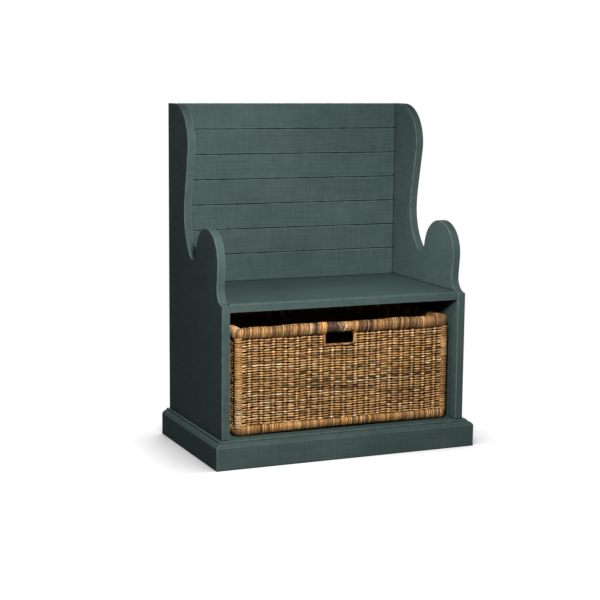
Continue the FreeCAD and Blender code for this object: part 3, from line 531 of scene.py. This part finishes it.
def crossing(where, turn):
    """The way of one strand of a row past the stakes, at places counted in
    stakes: the side it comes from, how much of the change to the other side is
    done, and how far it lies on a stake and on a single rod. A stake with an
    even number is a pair of rods."""
    left = np.floor(where).astype(int)
    # A strand stays out for longer over a pair than over a single rod
    change = np.where(left % 2 == 0, 0.6, 0.4)
    part = np.clip((where - left - change) / 0.6 + 0.5, 0, 1)
    ease = part * part * (3 - 2 * part)
    sign = np.where((left + turn) % 2 == 0, 1.0, -1.0)
    pair = 1 - np.round(where) % 2
    on_stake = np.clip(1 + 0.9 * pair - 4 * np.abs(where - np.round(where)), 0, 1)
    return sign, ease, on_stake, on_stake * (1 - pair)


def stand_rods(strands, locate, low, high, stakes, spacing, rod, gap):
    """The stakes of a weave: a single rod and a pair in turn. Those that would
    cross the window of gap end below it."""
    middle = (stakes + 1) / 2
    for index in range(1, stakes + 1):
        pair = index % 2 == 0
        for offset in (-PAIR_REACH, PAIR_REACH) if pair else (0.0,):
            stand = (index - middle) * spacing + offset
            top = gap[2] if gap and gap[0] < stand < gap[1] else high
            heights = np.linspace(low - ROD_FOOT, top + ROD_HEAD, int((top - low) / ROD_STEP) + 1)
            wander = waves(index * 13 + int(offset > 0), ROD_WANDER)
            tints = strand_tints(heights, PAIR_TINTS if pair else ROD_TINTS, SHORT_LENGTH)
            path = locate(stand + wander(heights), heights, 0 * heights)
            strands.add(path, (1, 0.3, 0), rod * rng.uniform(0.9, 1.1), tints)


def woven(locate, half_width, low, high, rows, stakes, spacing, swing=SWING, weaver=WEAVER_R,
          rod=ROD_R, gap=None, odd=()):
    """A twined weave: the two strands of each row change places between the
    stakes, so one of them is in front of every stake. Locate gives a point for a
    distance along the wall, a height and an offset outwards; half_width gives
    half the wall at a height. Every second stake is a pair of rods. Gap leaves
    out a window, given as the two distances along the wall and the height that
    it starts at. Odd lists single strands as row, two distances and tint."""
    strands = Strands()
    pitch = (high - low) / rows
    middle = (stakes + 1) / 2
    drift = waves(stakes, ROW_DRIFT)
    for row in range(rows):
        height = low + pitch * (row + 0.5)
        sag = waves(row * 31 + stakes, ROW_SAG)
        reach = half_width(height)
        spans = [(-reach, reach)]
        if gap and height + weaver > gap[2]:
            spans = [(-reach, gap[0]), (gap[1], reach)]
        thick = weaver * rng.uniform(0.88, 1.1)
        for (first, last), turn in itertools.product(spans, (0, 1)):
            begin = math.ceil((first / spacing + middle) * POINTS_PER_STAKE + 0.2)
            end = math.floor((last / spacing + middle) * POINTS_PER_STAKE - 0.2)
            steps = np.arange(begin, end + 1)
            along = (steps / POINTS_PER_STAKE - middle) * spacing
            along = np.concatenate([[first], along, [last]])
            sign, ease, on_stake, single = crossing(along / spacing + middle, turn)
            # It stands out a little further over a single rod, and rises as it crosses
            out = swing * sign * (1 - 2 * ease) * (0.95 + 0.12 * single)
            rise = CROSSING_RISE * sign * ease * (1 - ease)
            level = height + sag(along) + drift(along) + rise
            # Beside the posts the strands draw together two by two
            beside = np.clip((np.abs(along) - reach) / DRAW_LENGTH + 1, 0, 1)
            level += DRAW_REACH * beside * (1 if row % 2 else -1)
            tints = strand_tints(along, WEAVER_TINTS, WEAVER_LENGTH)
            for other, start, stop, tint in odd:
                if other == row and turn == 0:
                    tints[(along > start) & (along < stop)] = tint[:3]
            # Painted shade: strands darker where they turn to the inside of the wall; painted
            # highlight: lighter where they pass over a single rod
            painted_shelter_shade = np.clip(0.5 + 0.8 * out / swing, 0.1, 1)
            tints *= (painted_shelter_shade * (1.12 + 0.6 * single))[:, None]
            # Full on the stakes and pressed thin between them
            swell = 0.62 + 0.38 * on_stake + 0.06 * np.sin(along / KNOT_LENGTH + 2 * row)
            # Painted light and shade: each strand lighter on top and darker underneath
            strands.add(locate(along, level, out), (0, 0, 1), thick * swell, tints, painted_light=0.3)
    stand_rods(strands, locate, low, high, stakes, spacing, rod, gap)
    return strands


def between_posts(size, height):
    """Half the wall between two posts, with its ends tucked behind them."""
    return size / 2 - lean(height) - 2 * POST_R + POST_OVERLAP


def long_wall(name, node, rear, **more):
    def locate(along, height, out):
        inset = lean(height) + WALL_MID
        depth = BASKET_D - inset + out if rear else inset - out
        return place_in_basket(along, depth, height)

    strands = woven(locate, lambda height: between_posts(BASKET_W, height), BASE_H, WALL_TOP,
                    WALL_ROWS, LONG_STAKES, LONG_SPACING, **more)
    strands.build(name, "rattan_weave", [node])


def end_wall(name, node, side):
    def locate(along, height, out):
        reach = BASKET_W / 2 - lean(height) - WALL_MID + out
        return place_in_basket(side * reach, BASKET_D / 2 + along, height)

    strands = woven(locate, lambda height: between_posts(BASKET_D, height), BASE_H, WALL_TOP,
                    WALL_ROWS, END_STAKES, END_SPACING)
    strands.build(name, "rattan_weave", [node])


def floor_mat():
    """The floor's weave, whose rows run across and follow one another in depth."""
    def locate(along, depth, out):
        return place_in_basket(along, depth, MAT_LEVEL - out)

    inset = TAPER + BASE_T
    strands = woven(locate, lambda depth: BASKET_W / 2 - inset, inset, BASKET_D - inset,
                    MAT_ROWS, MAT_STAKES, MAT_SPACING, swing=MAT_SWING, weaver=MAT_WEAVER_R,
                    rod=MAT_ROD_R)
    strands.build("basket_floor_mat", "rattan_weave", ["basket_floor"])


# Wrapped hoops and posts

def hoop_path(half_x, front, rear, corner):
    """A closed rounded rectangle. Gives a function from 0..length to the point
    on it and the way out, and the length."""
    legs = []
    for centre, start in (((half_x - corner, front + corner), -90),
                          ((half_x - corner, rear - corner), 0),
                          ((-half_x + corner, rear - corner), 90),
                          ((-half_x + corner, front + corner), 180)):
        legs.append((centre, math.radians(start)))
    arc = corner * math.pi / 2
    straights = [rear - front - 2 * corner, 2 * (half_x - corner)] * 2
    length = 4 * arc + sum(straights)

    def at(run):
        run %= length
        for (centre, start), straight in zip(legs, straights):
            if run <= arc:
                angle = start + run / corner
                out = (math.cos(angle), math.sin(angle))
                return (centre[0] + corner * out[0], centre[1] + corner * out[1]), out
            run -= arc
            angle = start + math.pi / 2
            out = (math.cos(angle), math.sin(angle))
            if run <= straight:
                back = (-out[1], out[0])
                return (centre[0] + corner * out[0] + back[0] * run,
                        centre[1] + corner * out[1] + back[1] * run), out
            run -= straight
        return at(0)
    return at, length


class Patches:
    """Tints of neighbouring strands, alike for a stretch and then another. Own
    is the share of its own tint in each strand."""

    def __init__(self, stretch, own, gains):
        self.stretch = stretch
        self.own = own
        self.gains = gains
        self.left = 0
        self.mix = None
        self.tint = None

    def next(self, step, mix):
        self.left -= step
        if self.left < 0 or mix is not self.mix:
            self.left = self.stretch * rng.uniform(0.4, 1.6)
            self.mix = mix
            self.tint = pick(mix)
        return ((1 - self.own) * self.tint + self.own * pick(mix)) * rng.uniform(*self.gains)


def turns(count):
    """Angles of count points round a circle."""
    return np.linspace(0, 2 * math.pi, count + 1)[:-1]


def squarish(values, power):
    """Sines or cosines pushed outwards, so that their circle turns to a rounded box."""
    return np.sign(values) * np.abs(values) ** power


def on_front(y):
    return y < BASKET_D / 4


def core_rings(at, length, thick, low, tall, shape):
    """Rings of points along a hoop, just inside its strands."""
    turn = turns(CORE_SIDES)
    across = squarish(np.cos(turn), 0.6) * (thick / 2 - WRAP_R)
    upward = squarish(np.sin(turn), 0.6)
    rings = []
    for number in range(CORE_RINGS):
        (x, y), out = at(length * number / CORE_RINGS)
        rise_low, rise_top, bulge = shape(x, y)
        bottom = low + rise_low + WRAP_R
        top = low + tall + rise_top - WRAP_R
        reach = across - (thick / 2 - bulge / 2)
        rings.append(place_in_basket(x + out[0] * reach, y + out[1] * reach,
                                     (top + bottom) / 2 + (top - bottom) / 2 * upward))
    return rings


def wrapped_hoop(name, node, inset, thick, low, tall, shape, mix_at, slant, crossed=None):
    """A hoop wound round with strands. Shape gives, for a point of the outline,
    how far its bottom and its top move up, and how far its face moves out.
    Between the two places in crossed, on the front, the strands cross."""
    at, length = hoop_path(BASKET_W / 2 - inset, inset, BASKET_D - inset, HOOP_CORNER)
    patches = Patches(WRAP_BATCH, own=0.25, gains=(0.22, 1.3))
    strands = Strands()
    turn = turns(WRAP_POINTS)
    across = squarish(np.cos(turn), 0.8)
    upward = squarish(np.sin(turn), 0.8)
    for number in range(int(length / WRAP_PITCH)):
        (x, y), out = at(number * WRAP_PITCH)
        rise_low, rise_top, bulge = shape(x, y)
        bottom = low + rise_low
        top = low + tall + rise_top
        back = (-out[1], out[0])
        radius = WRAP_R * rng.uniform(0.86, 1.12)
        loose = rng.uniform(-0.9, 0.9) * MM
        wide = (thick + bulge + loose) / 2 - radius
        high = (top - bottom) / 2 - radius + rng.uniform(-0.3, 0.5) * MM
        lay = slant * rng.uniform(0.3, 1.5)
        if crossed and on_front(y) and crossed[0] < x < crossed[1]:
            lay = CROSSED_LAY * (1 if number % 2 else -1)
            wide += 0.5 * MM * (number % 2)
        shift = lay * upward + rng.uniform(-0.7, 0.7) * MM
        inward = thick / 2 - (bulge + loose) / 2
        px = x - out[0] * inward + out[0] * wide * across + back[0] * shift
        py = y - out[1] * inward + out[1] * wide * across + back[1] * shift
        pz = (top + bottom) / 2 + high * upward
        # Painted light and shade: lighter along the top and darker underneath
        tints = patches.next(WRAP_PITCH, mix_at(x, y)) * (1 + 0.55 * upward[:, None])
        strands.add(place_in_basket(px, py, pz), (back[0], back[1], 0.01), radius, tints,
                    sides=5, closed=True)
    # A core closes what shows between the strands; its dark colour is painted shade for those gaps
    strands.add_core(core_rings(at, length, thick, low, tall, shape))
    strands.build(name, "rattan_wrap", [node])


def near_corner(x, y, reach):
    """1 at the basket's corners and 0 further than reach from them."""
    gap = math.hypot(BASKET_W / 2 - abs(x), BASKET_D / 2 - abs(y - BASKET_D / 2))
    share = max(0.0, 1 - gap / reach)
    return share * share * (3 - 2 * share)


rim_wave = waves(5, ((310 * MM, 1.3 * MM), (120 * MM, 0.8 * MM)))

RIM_CORNER = 62 * MM
RIM_RISE_LEFT = -3 * MM
RIM_RISE_RIGHT = 6 * MM
RIM_DROP = 0.5 * MM
RIM_CORNER_DROP = 2.5 * MM
RIM_BULGE = 1.6 * MM


def rim_shape(x, y):
    """Higher at its right corners and lower at its left ones, with its underside
    raised over the hand hole."""
    corner = near_corner(x, y, RIM_CORNER)
    rise = RIM_RISE_RIGHT if x > 0 else RIM_RISE_LEFT
    top = rise * corner + float(rim_wave(x + y)) - RIM_DROP
    low = float(rim_wave(x * 1.3 - y)) * 0.6 - RIM_CORNER_DROP * corner
    if on_front(y) and abs(x - HOLE_X) < HOLE_W / 2:
        low = HOLE_RISE
    return low, top, RIM_BULGE * corner


BASE_CORNER = 70 * MM
BASE_LIFT = 4.6 * MM
BASE_RISE = 1.0 * MM
BASE_BULGE = 1.5 * MM
BASE_SIDE = 30 * MM


def base_shape(x, y):
    """Stands on its corners and lifts a little between them."""
    corner = near_corner(x, y, BASE_CORNER)
    if min(y, BASKET_D - y) < BASE_SIDE:
        run = abs(x) / (BASKET_W / 2)
    else:
        run = abs(y - BASKET_D / 2) / (BASKET_D / 2)
    return BASE_LIFT * max(0.0, 1 - run ** 3), BASE_RISE * corner, BASE_BULGE * corner


# Rim mixes: paler on the left of the front and darker on the right as painted light and shade,
# darker on the sides and back as painted shade
RIM_RIGHT_PAINTED_SHADE = ((TAN, 1), (AMBER, 2.4), (HONEY, 3), (BROWN, 6), (DARK, 2.4))
RIM_LEFT_PAINTED_LIGHT = ((PALE, 2), (TAN, 3), (AMBER, 4), (HONEY, 2), (BROWN, 2), (DARK, 0.4))
RIM_BACK_PAINTED_SHADE = ((HONEY, 2), (BROWN, 5), (DARK, 4))
RIM_DARK = ((DARK, 5), (BROWN, 1.5), (PINK, 0.5))
RIM_MIXED = ((CREAM, 1), (PALE, 2), (TAN, 1), (BROWN, 1))
RIM_GOLD = ((TAN, 2), (AMBER, 3), (HONEY, 2), (BROWN, 0.6))
BASE_MIX = ((TAN, 1.6), (AMBER, 3), (HONEY, 3), (BROWN, 4.5))
POST_MIX = ((TAN, 4), (PALE, 1.6), (HONEY, 3), (BROWN, 1.6), (PINK, 0.6))
# The front left post paler and the front right one browner: painted light and shade
POST_PAINTED_LIGHT = ((PALE, 3), (TAN, 5), (AMBER, 2))
POST_PAINTED_SHADE = ((TAN, 2), (HONEY, 3), (BROWN, 5))
BINDING_MIX = ((TAN, 2), (HONEY, 3), (BROWN, 4), (DARK, 2))

# Batches of strands along the middle of the rim's front: from, to and mix
RIM_BATCHES = ((-102 * MM, -92 * MM, RIM_DARK), (-92 * MM, -60 * MM, RIM_GOLD),
               (-60 * MM, -22 * MM, RIM_DARK), (-22 * MM, 10 * MM, RIM_MIXED),
               (10 * MM, 47 * MM, RIM_GOLD), (47 * MM, 94 * MM, RIM_DARK),
               (94 * MM, 109 * MM, RIM_GOLD), (109 * MM, 116 * MM, RIM_DARK))


def rim_mix(x, y):
    # Painted shade on the sides and back; on the front, painted light on the left and painted shade
    # on the right, besides the batches in the middle
    if not on_front(y):
        return RIM_BACK_PAINTED_SHADE
    for first, last, mix in RIM_BATCHES:
        if first < x < last:
            return mix
    return RIM_LEFT_PAINTED_LIGHT if x < 0 else RIM_RIGHT_PAINTED_SHADE


def basket_posts():
    """Four posts, each wound with thick strands from the base hoop to the rim."""
    turn = turns(WRAP_POINTS)
    # The front posts' mixes paint light on the left post and shade on the right one
    for name, sx, rear, mix in (("front_left", -1, False, POST_PAINTED_LIGHT),
                                ("front_right", 1, False, POST_PAINTED_SHADE),
                                ("rear_left", -1, True, POST_MIX),
                                ("rear_right", 1, True, POST_MIX)):
        strands = Strands()
        patches = Patches(POST_BATCH, own=0.3, gains=(0.8, 1.05))
        height = BASE_H - POST_FOOT
        while height < WALL_TOP + TUCK:
            inset = lean(height)
            radius = POST_STRAND_R * rng.uniform(0.9, 1.05)
            ring = POST_R - radius + rng.uniform(-0.3, 0.5) * MM
            x = sx * (BASKET_W / 2 - inset - POST_R)
            y = BASKET_D - inset - POST_R if rear else inset + POST_R
            tilt = rng.uniform(-1.6, 1.6) * MM
            level = height + tilt * np.cos(turn + rng.uniform(0, 6.28))
            path = place_in_basket(x + ring * np.cos(turn), y + ring * np.sin(turn), level)
            strands.add(path, (0, 0, 1), radius, patches.next(POST_PITCH, mix), closed=True)
            height += POST_PITCH * rng.uniform(0.88, 1.12)
        strands.build("basket_post_wrap_" + name, "rattan_wrap", ["basket_post_" + name])


def hole_outline():
    """Points down the left end of the hand hole, along its lower lip and up the
    right end, each as a distance from its middle and a height."""
    half = HOLE_W / 2 + BINDING_W / 2
    low = WALL_TOP - HOLE_H - BINDING_W / 2
    end = half - HOLE_CORNER

    def corner(centre, start, steps):
        angles = [start + step * CORNER_STEP for step in steps]
        return [(centre + HOLE_CORNER * math.cos(angle),
                 low + HOLE_CORNER + HOLE_CORNER * math.sin(angle)) for angle in angles]

    left = [(-half, WALL_TOP + TUCK), (-half, low + HOLE_CORNER)]
    left += corner(-end, math.pi, range(1, 6))
    lip = [(-end + 2 * end * step / LIP_STEPS, low) for step in range(1, LIP_STEPS)]
    right = corner(end, -math.pi / 2, range(6))
    right.append((half, WALL_TOP + TUCK))
    return np.array(left + lip + right)


def hand_hole():
    """Strands that twist along the ends and the lower lip of the hand hole."""
    strands = Strands()
    outline = hole_outline()
    way = np.gradient(outline, axis=0)
    way /= np.linalg.norm(way, axis=1)[:, None]
    side = np.stack([-way[:, 1], way[:, 0]], axis=1)
    run = np.concatenate([[0], np.cumsum(np.linalg.norm(np.diff(outline, axis=0), axis=1))])
    for k in range(BINDING_STRANDS):
        angle = 2 * math.pi * k / BINDING_STRANDS + run / BINDING_TURN
        across = BINDING_ACROSS * np.cos(angle)
        x = HOLE_X + outline[:, 0] + side[:, 0] * across
        z = outline[:, 1] + side[:, 1] * across
        path = place_in_basket(x, lean(z) + WALL_MID + BINDING_DEPTH * np.sin(angle), z)
        tints = strand_tints(run, BINDING_MIX, SHORT_LENGTH)
        strands.add(path, (0, 1, 0), BINDING_R, tints)
    strands.build("hand_hole_strands", "rattan_wrap", ["hand_hole_binding"])


long_wall("basket_front_weave", "basket_front_wall", False, gap=HOLE_GAP, odd=ODD_STRANDS)
long_wall("basket_back_weave", "basket_back_wall", True)
end_wall("basket_left_weave", "basket_left_wall", -1)
end_wall("basket_right_weave", "basket_right_wall", 1)
floor_mat()
wrapped_hoop("basket_rim_wrap", "basket_top_rim", 0.0, RIM_T, WALL_TOP, RIM_H, rim_shape,
             rim_mix, RIM_SLANT, crossed=CROSSED)
wrapped_hoop("basket_base_wrap", "basket_base_rim", TAPER, BASE_T, 0.0, BASE_H, base_shape,
             lambda x, y: BASE_MIX, BASE_SLANT)
basket_posts()
hand_hole()


# Floor, world and lights

WHITE = (1, 1, 1, 1)
FLOOR_HALF = 14
FLOOR_GREY = 0.25
SHADOW_GREY = 0.2
FLOOR_GLOW = 0.97
SHADOW_REACH = 0.24
WORLD_LIGHT = 0.01


def make_floor():
    """White to the eye, with the bench's shadow on it, real and, near the bench, painted, and grey
    to the light.
    """
    s = Shader("pale_floor")
    place = s.place()
    reach = s.add("ShaderNodeVectorMath", {0: place}, operation="LENGTH").outputs["Value"]
    far = s.spread(reach, low=0.75, high=1.7)
    # A contact shadow painted into the floor's glow from its occlusion lies beside the bench and,
    # thinner, in front of it
    spot = s.add("ShaderNodeSeparateXYZ", {0: place}).outputs
    sky = s.add("ShaderNodeAmbientOcclusion", {"Distance": SHADOW_REACH}, samples=8)
    hidden = s.math("SUBTRACT", 1.0, sky.outputs["AO"])
    beside = s.spread(spot["Y"], low=-0.262, high=-0.245, to_high=1.25)
    before = s.math("MULTIPLY", s.spread(spot["Y"], low=-0.36, high=-0.255),
                    s.spread(spot["X"], low=-0.3, high=0.25, to_high=0.6))
    depth = s.math("MAXIMUM", beside, before)
    strength = s.math("SUBTRACT", FLOOR_GLOW, s.math("MULTIPLY", hidden, depth))
    s.tree.nodes.remove(s.surface)
    lit = s.add("ShaderNodeBsdfDiffuse", {"Color": (FLOOR_GREY,) * 3 + (1,)})
    shade = s.add("ShaderNodeBsdfDiffuse", {"Color": (SHADOW_GREY,) * 3 + (1,)})
    glow = s.add("ShaderNodeEmission", {"Color": WHITE, "Strength": strength})
    near = s.add("ShaderNodeAddShader", {0: shade, 1: glow})
    white = s.add("ShaderNodeEmission", {"Color": WHITE, "Strength": 1.0})
    shown = s.add("ShaderNodeMixShader", {0: far, 1: near, 2: white})
    path = s.add("ShaderNodeLightPath").outputs
    gloss = s.math("MAXIMUM", path["Is Glossy Ray"], path["Is Transmission Ray"])
    unseen = s.add("ShaderNodeMixShader", {0: gloss, 1: lit, 2: shade})
    mixed = s.add("ShaderNodeMixShader", {0: path["Is Camera Ray"], 1: unseen, 2: shown})
    s.put(s.tree.nodes["Material Output"], {"Surface": mixed})
    mesh = bpy.data.meshes.new("floor")
    corners = [(x * FLOOR_HALF, y * FLOOR_HALF, 0) for x, y in ((-1, -1), (1, -1), (1, 1), (-1, 1))]
    mesh.from_pydata(corners, [], [(0, 1, 2, 3)])
    mesh.materials.append(s.material)
    floor = bpy.data.objects.new("floor", mesh)
    bpy.context.scene.collection.objects.link(floor)


def make_world():
    """White behind the bench and in its gloss, and nearly no light of its own."""
    world = bpy.data.worlds.new("studio")
    world.use_nodes = True
    bpy.context.scene.world = world
    s = Nodes(world.node_tree)
    path = s.add("ShaderNodeLightPath").outputs
    seen = s.math("MAXIMUM", path["Is Camera Ray"], path["Is Transmission Ray"])
    seen = s.math("MAXIMUM", seen, path["Is Glossy Ray"])
    level = s.spread(seen, low=0.0, high=1.0, to_low=WORLD_LIGHT)
    s.put(s.tree.nodes["Background"], {"Color": WHITE, "Strength": level})


def softbox(name, place, target, size, power, spread=180):
    """A rectangular lamp, size wide and high in metres, turned to its target."""
    data = bpy.data.lights.new(name, "AREA")
    data.spread = math.radians(spread)
    data.shape = "RECTANGLE"
    data.size, data.size_y = size
    data.energy = power
    lamp = bpy.data.objects.new(name, data)
    lamp.visible_camera = False
    lamp.location = place
    way = Vector(target) - Vector(place)
    lamp.rotation_euler = way.to_track_quat("-Z", "Y").to_euler()
    bpy.context.scene.collection.objects.link(lamp)


make_floor()
make_world()
softbox("key_light", place=(-0.62, -1.55, 1.3), target=(0, 0, 0.5), size=(0.25, 0.35), power=35)
softbox("side_light", place=(-0.37, -0.3, 1.0), target=(0.4, 0, 0.6), size=(0.3, 0.3), power=0.8)
softbox("seat_light", place=(-0.37, -0.45, 1.0), target=(0.4, 0, 0.55), size=(0.2, 0.2),
        power=0.4, spread=60)
softbox("back_light", place=(0.7, 2.4, 1.1), target=(0, 0.2, 0.5), size=(1.2, 0.6), power=70)

bpy.context.scene.view_settings.view_transform = "Standard"
